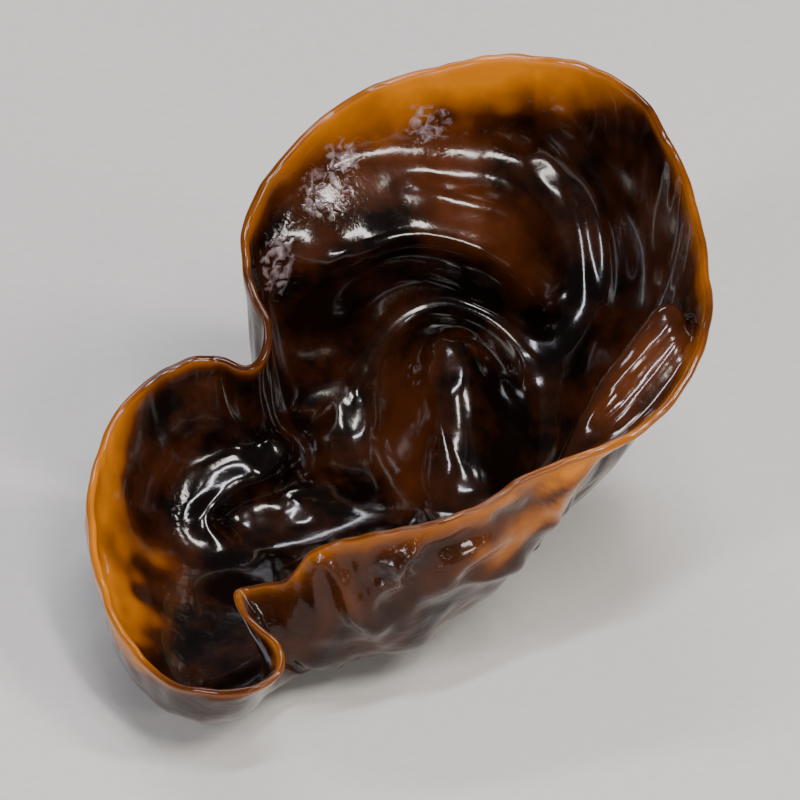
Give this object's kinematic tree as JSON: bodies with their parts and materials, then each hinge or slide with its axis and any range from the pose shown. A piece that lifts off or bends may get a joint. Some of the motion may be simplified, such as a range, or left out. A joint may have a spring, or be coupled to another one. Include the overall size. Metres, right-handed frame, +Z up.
{
  "type": "wood ear mushroom",
  "caption": "Soaked wood ear: a thin folded cup of wet brown flesh with a curled lip, a side lobe and an inner knob, standing on the flat cut of its short foot.",
  "frame": {"origin": "centre of the flat cut under the foot, which the ear stands on", "axes": "+Z up out of the cut, +Y from the lip at the front to the high back wall, +X from the side lobe to the right wall"},
  "size_m": [0.0716, 0.0778, 0.0501],
  "materials": {
    "wet_flesh": "wet gloss"
  },
  "bodies": {
    "root": {"ear": "wet_flesh"}
  },
  "joints": []
}
